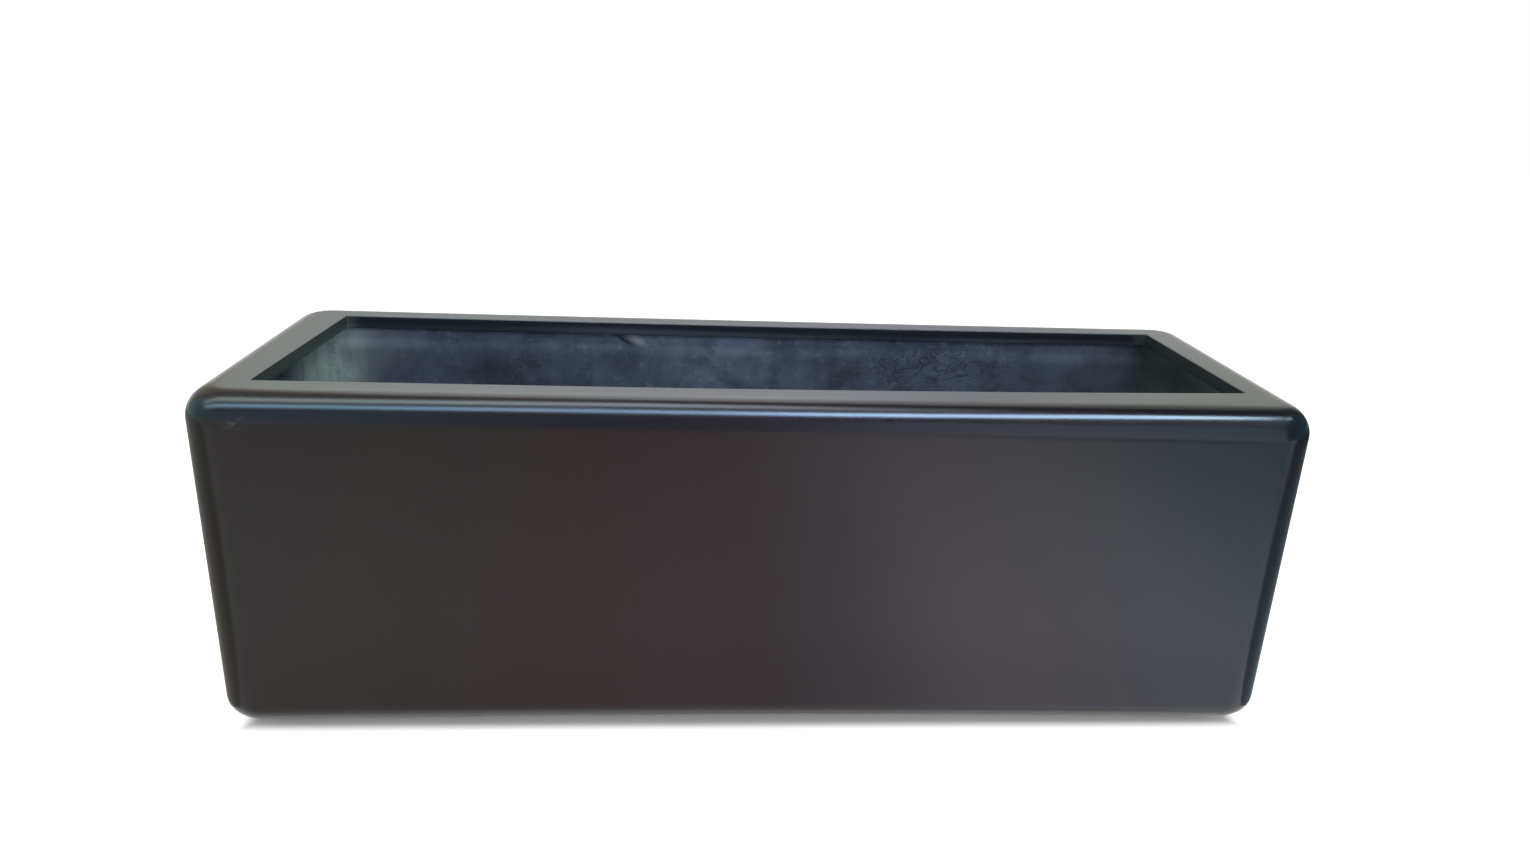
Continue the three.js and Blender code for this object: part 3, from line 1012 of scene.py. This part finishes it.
# The drains: two flanged bushes and their bungs, in millimetres
drain = {
    "spacing": 340,
    "bore": 8,  # radii
    "body": 10.4,
    "flange": 17,
    "low": 7,  # heights
    "seat": 14.3,
    "top": 16.5,
    "bevel": 0.4,
    "hollow": 0.6,
    "rounding": 1.05,
    "ring": (2.6, 3.5, 0.25),  # a shallow witness ring, from the flange's edge, and its depth
    "plugBody": 7.65,
    "plugTaper": 0.5,
    "bead": 0.336,  # two sealing beads stand a little proud of the taper
    "plugLow": 7.3,
    "plugSeat": 16.8,
    "plugFlange": 12.5,
    "plugFlangeTop": 19.8,
    "neck": 4.5,
    "knob": 7.5,
    "knobTop": 32.8,
    "rib": (0.12, 0.35),  # the moulding's parting line over the knob: height and half width
}


def makeBushes():
    d = drain
    bevel, rounding, hollow, top = d["bevel"], d["rounding"], d["hollow"], d["top"]
    outer, inner, depth = d["ring"]
    profile = [
        (d["bore"] + bevel, d["low"]),
        *arcPoints(d["body"] - bevel, d["low"] + bevel, bevel, -90, 0, 3),
        (d["body"], d["seat"] - hollow),
        *arcPoints(d["body"] + hollow, d["seat"] - hollow, hollow, 180, 90, 3)[1:],
        *arcPoints(d["flange"] - 0.25, d["seat"] + 0.25, 0.25, -90, 0, 2),
        *arcPoints(d["flange"] - rounding, top - rounding, rounding, 0, 90, 6),
        (d["flange"] - outer, top),
        (d["flange"] - outer - 0.2, top - depth),
        (d["flange"] - inner + 0.2, top - depth),
        (d["flange"] - inner, top),
        *arcPoints(d["bore"] + 0.5, top - 0.5, 0.5, 90, 180, 4),
        (d["bore"], d["low"] + bevel),
    ]
    bush = turnedPiece("drainBushes", profile, 96, materials["bushPlastic"])
    runTree(bush, rowsTree, {"Columns": 2, "Column Step": d["spacing"] * mm})
    finishPiece(bush, "trough", [f"drain_bush_{side}" for side in sides], 35)


def makePlug(side):
    d = drain
    knob, neck, body, foot = d["knob"], d["neck"], d["plugBody"], d["plugLow"]
    seat, flange, flangeTop = d["plugSeat"], d["plugFlange"], d["plugFlangeTop"]
    profile = [
        (0, foot + 1.2),
        (3.2, foot + 1.2),
        *arcPoints(4.4, foot + 0.6, 0.6, 180, 270, 3),
        *arcPoints(body - d["plugTaper"] - 1, foot + 1, 1, -90, 0, 5),
    ]
    low, high = foot + 1.4, seat - 0.5
    for i in range(17):
        along = i / 16
        bead = math.sin(math.pi * 2 * along) ** 8
        profile.append((body - d["plugTaper"] * (1 - along) - d["bead"] * (1 - bead), low + (high - low) * along))
    middle = (seat + flangeTop) / 2
    start = math.degrees(math.acos((neck + 0.2) / knob))
    profile += [
        (body - 0.1, seat),
        *arcPoints(flange - 0.4, seat + 0.4, 0.4, -90, 0, 3),
        (flange, middle - 0.1),
        (flange - 0.12, middle),
        (flange, middle + 0.1),
        *arcPoints(flange - 1, flangeTop - 1, 1, 0, 90, 6),
        *arcPoints(neck + 1.2, flangeTop + 1.2, 1.2, 270, 180, 5),
        *arcPoints(0, d["knobTop"] - knob, knob, -start, 86, 26),
        (0, d["knobTop"]),
    ]
    points, faces = turnedForm(profile, 80)
    ribHeight, ribWidth = d["rib"]
    place = boxMiddle(f"drain_plug_{side}")
    placed = []
    for x, y, z in points:
        reach = math.hypot(x, y)
        scale = 1
        if z > flangeTop + 1.5 and reach > 1:
            scale = (reach - ribHeight + ribHeight * math.exp(-(y / ribWidth) ** 2)) / reach
        placed.append((place.x + x * scale * mm, place.y + y * scale * mm, z * mm))
    plug = meshObject(f"drainPlug.{side}", placed, faces, materials["plugRubber"])
    finishPiece(plug, f"{side}_plug", [f"drain_plug_{side}"], 50)


makeBushes()
for side in sides:
    makePlug(side)


# The feet, with their washers and screws, in millimetres
foot = {
    "steps": {"Column Step": 340 * mm, "Row Step": 190 * mm},
    "top": 9.7,
    "topRadius": 18.5,
    "lowRadius": 16.5,
    "edge": 2,
    "hole": 2.35,
    "recess": 8,
    "recessDepth": 5.5,
    "grooves": (10, 12, 13.6),  # grip rings in its sole
    "washerRadius": 7,
    "washerTop": 5.2,
    "washerThickness": 1.2,
    "washerBevel": 0.18,
    "screwSeat": 3.7,
    "screwLength": 20,
    "screwRadius": 2,
    "screwCore": 1.35,
    "headRadius": 4.2,
    "headHeight": 2.2,
    "headEdge": 0.6,
    "pitch": 1.6,
    "point": 5,
    "driverMouth": (2.8, 0.6),  # half the length and width of the cross recess's wings
    "driverFoot": (1.2, 0.35),
    "driverDepth": 1.3,
}


def repeatFeet(piece, start, sharpAngle, turn=0.0):
    runTree(piece, rowsTree, {"Columns": 3, "Rows": 2, "Turn": turn, "Seed": 5, **foot["steps"]})
    finishPiece(piece, "trough", footNodes(start), sharpAngle)


def makeFeet():
    f = foot
    recess, depth, edge, top = f["recess"], f["recessDepth"], f["edge"], f["top"]
    profile = [
        (f["hole"], depth),
        *arcPoints(recess - 0.5, depth - 0.5, 0.5, 90, 0, 3),
        *arcPoints(recess + 0.5, 0.5, 0.5, 180, 270, 4),
    ]
    for radius in f["grooves"]:
        profile += [(radius + side, height) for side, height in ((-0.4, 0), (-0.25, 0.45), (0.25, 0.45), (0.4, 0))]
    profile += arcPoints(f["lowRadius"] - edge, edge, edge, -90, 0, 6)
    profile += between(profile[-1], (f["topRadius"] - 0.05, top - 0.6), 4)
    profile += [*arcPoints(f["topRadius"] - 0.6, top - 0.6, 0.6, 0, 90, 4), (f["hole"], top)]
    repeatFeet(turnedPiece("rubberFeet", profile, 80, materials["footRubber"]), "foot", 40)


def makeWashers():
    f = foot
    top, bevel = f["washerTop"], f["washerBevel"]
    low, inner, outer = top - f["washerThickness"] + bevel, f["hole"] + bevel, f["washerRadius"] - bevel
    profile = [
        *arcPoints(inner, low, bevel, 180, 270, 2),
        *arcPoints(outer, low, bevel, -90, 0, 3),
        *arcPoints(outer, top - bevel, bevel, 0, 90, 3),
        *arcPoints(inner, top - bevel, bevel, 90, 180, 2),
    ]
    repeatFeet(turnedPiece("footWashers", profile, 64, materials["zincSteel"]), "foot_washer", 40)


def makeScrews():
    # the thread's rows climb by one pitch in a turn, so that its crest is a true helix
    f = foot
    steps, crests = 24, (0, 0.25, 1, 0.25)
    seat, wide, core = f["screwSeat"], f["screwRadius"], f["screwCore"]
    low, rounding = seat - f["headHeight"], f["headHeight"] - f["headEdge"]
    vertices, faces = turnedForm([
        (0, low),
        *arcPoints(f["headRadius"] - rounding, low + rounding, rounding, -90, 0, 7),
        *arcPoints(f["headRadius"] - 0.15, seat - 0.15, 0.15, 0, 90, 2),
        (wide, seat),
        (wide, seat + 2.5),
        (core, seat + 3),
        (core, seat + 3.2),
        (0, seat + 3.2),
    ], steps)
    start, tip = seat + 3.1, seat + f["screwLength"]
    rows = (int((tip - start) / f["pitch"]) - 1) * len(crests)
    base, width = len(vertices), steps + 1
    for row in range(rows + 1):
        for k in range(width):
            height = start + f["pitch"] * (row / len(crests) + k / steps)
            crest = crests[row % len(crests)] * min(1, (height - start) / 2)
            radius = (core + (wide - 0.05 - core) * crest) * min(1, (tip - height) / f["point"])
            angle = 2 * math.pi * k / steps
            vertices.append((radius * math.cos(angle), radius * math.sin(angle), height))
            if row < rows and k < steps:
                a = base + row * width + k
                faces.append([a, a + 1, a + width + 1, a + width])
    piece = meshObject("footScrews", np.array(vertices) * mm, faces, materials["zincSteel"])
    form = bmesh.new()
    form.from_mesh(piece.data)
    bmesh.ops.remove_doubles(form, verts=form.verts, dist=0.01 * mm)
    bmesh.ops.holes_fill(form, edges=[e for e in form.edges if e.is_boundary])
    bmesh.ops.recalc_face_normals(form, faces=form.faces)
    form.to_mesh(piece.data)
    form.free()
    piece.data.shade_smooth()
    cutAway(piece, makeDriver(low))
    repeatFeet(piece, "foot_screw", 35, 2 * math.pi)


def makeDriver(low):
    # the cross recess: a blunt four-winged point
    form = bmesh.new()
    for wing in (0, 1):
        for vertex in bmesh.ops.create_cube(form, size=1)["verts"]:
            x, y, z = vertex.co
            reach = foot["driverFoot" if z > 0 else "driverMouth"]
            place = math.copysign(reach[wing], x), math.copysign(reach[1 - wing], y)
            vertex.co = Vector((*place, low + math.copysign(foot["driverDepth"], z))) * mm
    return cutterObject("driver", form)


makeFeet()
makeWashers()
makeScrews()

# The battens keep their CAD mesh, inside the glassings
for column in columns:
    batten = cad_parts[f"base_batten_{column}"]
    batten.data.materials.clear()
    batten.data.materials.append(materials["plywood"])
print("pieces made")


# The floor, the light and the background
studio = {
    "floorSize": 12.0,
    "floorColour": (0.8, 0.8, 0.8),
    "floorLift": 0.66,  # added for the camera, so that the open floor is white
    "ambient": 0.7,
    "keyPlace": (0.5, -2.6, 1.45),
    "keyTarget": (0, 0, 0.2),
    "keySize": (1.8, 1.0),
    "keyPower": 38.0,
    "keyColour": (0.95, 0.98, 1.0),
}


def rectangle(low, high):
    # level or upright, from one corner to the opposite one
    (x0, y0, z0), (x1, y1, z1) = low, high
    if x0 == x1:
        return [low, (x0, y1, z0), high, (x0, y0, z1)]
    return [low, (x1, y0, z0), high, (x0, y1, z1)]


def floorCard(side):
    outline = {0.455: -0.15, 0.8: -0.4, 3.4: -1.35}
    return [(x * side, y, 0.007) for x, y in [*outline.items(), (3.4, 1.4), (0.455, 1.4)]]


# What the paint mirrors: flags, cards, a window behind and two strips overhead.
# Each has x: colour and x: strength along it.
mirrored = {
    "ceilingBack": {
        "corners": rectangle((-3.4, -0.4, 3.0), (3.4, 3.4, 3.0)),
        "colours": {-1.2: (0.85, 1.0, 0.92), 0: (0.8, 0.9, 1.0)},
        "strengths": {-1.6: 0.7, -0.5: 0.08, 0.8: 0.08, 1.4: 0},
    },
    "ceilingFront": {
        "corners": rectangle((-3.4, -3.4, 3.0), (3.4, -0.4, 3.0)),
        "colours": {0: (0.7, 0.85, 1.0)},
        "strengths": {0.9: 0.05, 1.4: 0.6, 2.2: 1.0},
    },
    "rearLeft": {
        "corners": rectangle((-3.4, 1.2, 0.1), (-2.4, 1.2, 3.0)),
        "colours": {0: (1.0, 0.97, 0.86)},
        "strengths": {-3.0: 0.4, -2.4: 0.8},
    },
    "rearRight": {
        "corners": rectangle((1.6, 1.2, 0.1), (3.0, 1.2, 3.0)),
        "colours": {0: (0.6, 0.85, 1.0)},
        "strengths": {1.6: 0.5, 2.2: 0.1},
    },
    "front": {
        "corners": rectangle((-5, -4, 0.0), (5, -3.1, 3.0)),
        "colours": {-1.5: (0.34, 0.71, 1.0), -0.25: (0.13, 0.63, 1.0), 1.2: (0.51, 0.72, 1.0), 2.1: (0.48, 0.75, 1.0)},
        "strengths": {-1.6: 1.4, -0.4: 0.60, 0.0: 0.66, 1.2: 2.05, 2.1: 1.95, 3.5: 0.9},
        "horizon": (0.3, 1.8, 0.4, 0),  # from which height to which it is paler, and how much
    },
    "apron": {
        "corners": rectangle((-3, -4, 0.005), (3, -0.155, 0.005)),
        "colours": {
            -0.6: (0.95, 1.05, 1.0), -0.15: (1.13, 1.0, 1.0), 0.10: (0.89, 0.88, 1.0), 0.26: (0.90, 0.86, 1.0),
            0.44: (0.80, 0.89, 1.0), 0.66: (0.68, 0.92, 1.0), 0.95: (0.50, 0.82, 1.0), 1.6: (0.60, 0.85, 1.0),
        },
        "strengths": {
            -0.63: 1.05, -0.15: 0.95, 0.0: 1.1, 0.25: 2.12, 0.45: 2.15, 0.65: 1.72, 0.95: 1.2, 1.5: 1.6, 2.2: 2.1,
        },
        "across": {-3.2: 0.85, -1.6: 0.78, -0.85: 0.84, -0.67: 1.0, -0.46: 1.08, -0.33: 1.12, -0.2: 0.98},
    },
    "left": {
        "corners": rectangle((-3.4, -3.4, 0), (-3.4, 1.2, 3.0)),
        "colours": {0: (0.5, 0.98, 1.05)},
        "strengths": {0: 1.0},
    },
    "right": {
        "corners": rectangle((3.0, -3.4, 0), (3.0, 1.2, 3.0)),
        "colours": {0: (0.1, 0.6, 1.0)},
        "strengths": {0: 0.35},
    },
    "window": {
        "corners": rectangle((-2.4, 1.2, 0.45), (1.6, 1.2, 2.9)),
        "colours": {
            -1.2: (1.0, 0.88, 0.74), -0.95: (0.9, 1.0, 0.92), -0.5: (0.92, 1.0, 1.0), 0.0: (0.92, 0.97, 1.02),
            0.5: (0.93, 0.98, 1.08), 0.8: (0.95, 1.02, 0.97), 1.2: (0.93, 1.0, 0.88),
        },
        "strengths": {-1.3: 0.8, -0.9: 2.8, -0.4: 3.35, 0.1: 3.35, 0.6: 2.0, 0.85: 1.75, 1.05: 1.1, 1.4: 0.8},
        "foot": {-0.95: 0.74, -0.55: 0.85, 0.3: 0.85, 0.6: 0.79, 0.95: 0.95},
        "rise": (0.45, 1.35),  # heights between which it grows from its foot to these
    },
    "leftCard": {
        "corners": floorCard(-1),
        "colours": {-1.2: (0.95, 1.02, 0.9), -0.5: (1.05, 1.0, 0.85)},
        "strengths": {0: 0.45},
    },
    "rightCard": {
        "corners": floorCard(1),
        "colours": {0: (0.6, 0.85, 1.0)},
        "strengths": {0.5: 0.45, 0.9: 0.3, 1.5: 0.06},
    },
    "strip": {
        "path": {
            -3.3: -1.15, -1.9: -1.25, -1.13: -1.25, -0.65: -1.16, -0.2: -1.1, 0.3: -1.10, 0.62: -0.96, 0.81: -0.86,
            1.07: -0.66, 1.3: -0.52, 1.5: -0.45, 2.0: -0.3, 2.6: 0.0,
        },
        "width": 0.46,
        "colours": {-1.1: (0.42, 0.77, 1.0), -0.2: (0.43, 0.64, 1.0), 0.8: (0.49, 0.68, 1.0), 1.3: (0.55, 0.78, 1.0)},
        "strengths": {
            -3.0: 12, -1.2: 15.5, -0.3: 23, -0.02: 24, 0.3: 46, 1.1: 34.5, 1.3: 35, 1.45: 33, 1.6: 3, 1.8: 3, 2.0: 8,
            2.6: 8,
        },
    },
    "bounce": {
        "path": {-3.0: -0.35, -1.9: -0.3, -1.04: -0.28, -0.19: -0.05, 0.78: -0.1},
        "width": 0.48,
        "colours": {-1.0: (0.78, 1.0, 0.97), -0.2: (0.75, 0.88, 1.0)},
        "strengths": {-1.9: 6.0, -1.1: 9.0, -0.2: 12.0, 0.78: 2.0},
    },
}
stripHeight = 2.3


def seenDirectly():
    # 1 for rays from the camera, in mirrors and through glass
    rays = nodes.new("ShaderNodeLightPath").outputs
    camera, glossy, through = (Value(rays[f"Is {kind} Ray"]) for kind in ("Camera", "Glossy", "Transmission"))
    return larger(larger(camera, glossy), through)


def makeFloor():
    size = studio["floorSize"] / 2
    corners = rectangle((-size, -size, 0), (size, size, 0))
    material, place = startMaterial(
        "floorPaper", Base_Color=studio["floorColour"], Roughness=1.0, Specular_IOR_Level=0, Emission_Color=(1, 1, 1))
    # nothing is added in the trough's own shadow, right under it
    x, y, _ = split(place)
    inside = larger(abs(x) - shellHigh.x, abs(y) - shellHigh.y)
    lift = seenDirectly() * ramp(inside, -0.024, -0.008, 0, studio["floorLift"])
    feed(nodes["Principled BSDF"].inputs["Emission Strength"], lift)
    # from below the floor is clear, so that the underside can be looked at
    behind = addNode("ShaderNodeNewGeometry", output="Backfacing")
    paper, clear = Value(nodes["Principled BSDF"].outputs[0]), addNode("ShaderNodeBsdfTransparent")
    feed(nodes["Material Output"].inputs["Surface"], addNode("ShaderNodeMixShader", {0: behind, 1: paper, 2: clear}))
    meshObject("floorPaper", corners, [(0, 1, 2, 3)], material)


def makeWorld():
    world = bpy.data.worlds.new("studio")
    world.use_nodes = True
    scene.world = world
    useTree(world.node_tree)
    nodes.clear()
    white, soft = (addNode("ShaderNodeBackground", {"Color": (1, 1, 1), "Strength": s}) for s in (1, studio["ambient"]))
    mix = addNode("ShaderNodeMixShader", {0: seenDirectly(), 1: soft, 2: white})
    feed(nodes.new("ShaderNodeOutputWorld").inputs["Surface"], mix)


def stripShape(look):
    path = [Vector(place) for place in look["path"].items()]
    left, right = [], []
    for k, point in enumerate(path):
        ahead = path[min(k + 1, len(path) - 1)] - path[max(k - 1, 0)]
        side = Vector((-ahead.y, ahead.x)).normalized() * look["width"] / 2
        left.append((*(point + side), stripHeight))
        right.append((*(point - side), stripHeight))
    count = len(path)
    return left + right, [(k, k + 1, count + k + 1, count + k) for k in range(count - 1)]


def makePanel(name, look):
    # a panel that only shows in reflections, as a studio's flags and strips do
    material, place = startMaterial(name)
    nodes.remove(nodes["Principled BSDF"])
    x, y, z = split(place)
    strength, colour = numbersAlong(x, look["strengths"]), coloursAlong(x, look["colours"])
    if "across" in look:
        strength = strength * numbersAlong(y, look["across"])
    if "horizon" in look:
        colour = mixColour(ramp(z, *look["horizon"]), colour, (1, 1, 0.95))
    if "rise" in look:
        foot = numbersAlong(x, look["foot"])
        strength = (strength - foot) * ramp(z, *look["rise"]) + foot
    glow = addNode("ShaderNodeEmission", {"Color": colour, "Strength": strength})
    feed(nodes["Material Output"].inputs["Surface"], glow)
    if "path" in look:
        corners, faces = stripShape(look)
    else:
        corners, faces = look["corners"], [range(len(look["corners"]))]
    panel = meshObject(f"{name}Panel", corners, faces, material)
    for ray in ("camera", "diffuse", "transmission", "volume_scatter", "shadow"):
        setattr(panel, f"visible_{ray}", False)


def makeKeyLamp():
    data = bpy.data.lights.new("softKey", "AREA")
    data.shape = "RECTANGLE"
    data.size, data.size_y = studio["keySize"]
    data.energy, data.color = studio["keyPower"], studio["keyColour"]
    lamp = addObject("softKey", data)
    lamp.location = studio["keyPlace"]
    lamp.rotation_mode = "QUATERNION"
    lamp.rotation_quaternion = (Vector(studio["keyTarget"]) - lamp.location).to_track_quat("-Z", "Y")
    lamp.visible_glossy = lamp.visible_camera = False


makeFloor()
makeWorld()
for name, look in mirrored.items():
    makePanel(name, look)
makeKeyLamp()
scene.view_settings.view_transform = "Standard"
print("studio lit")
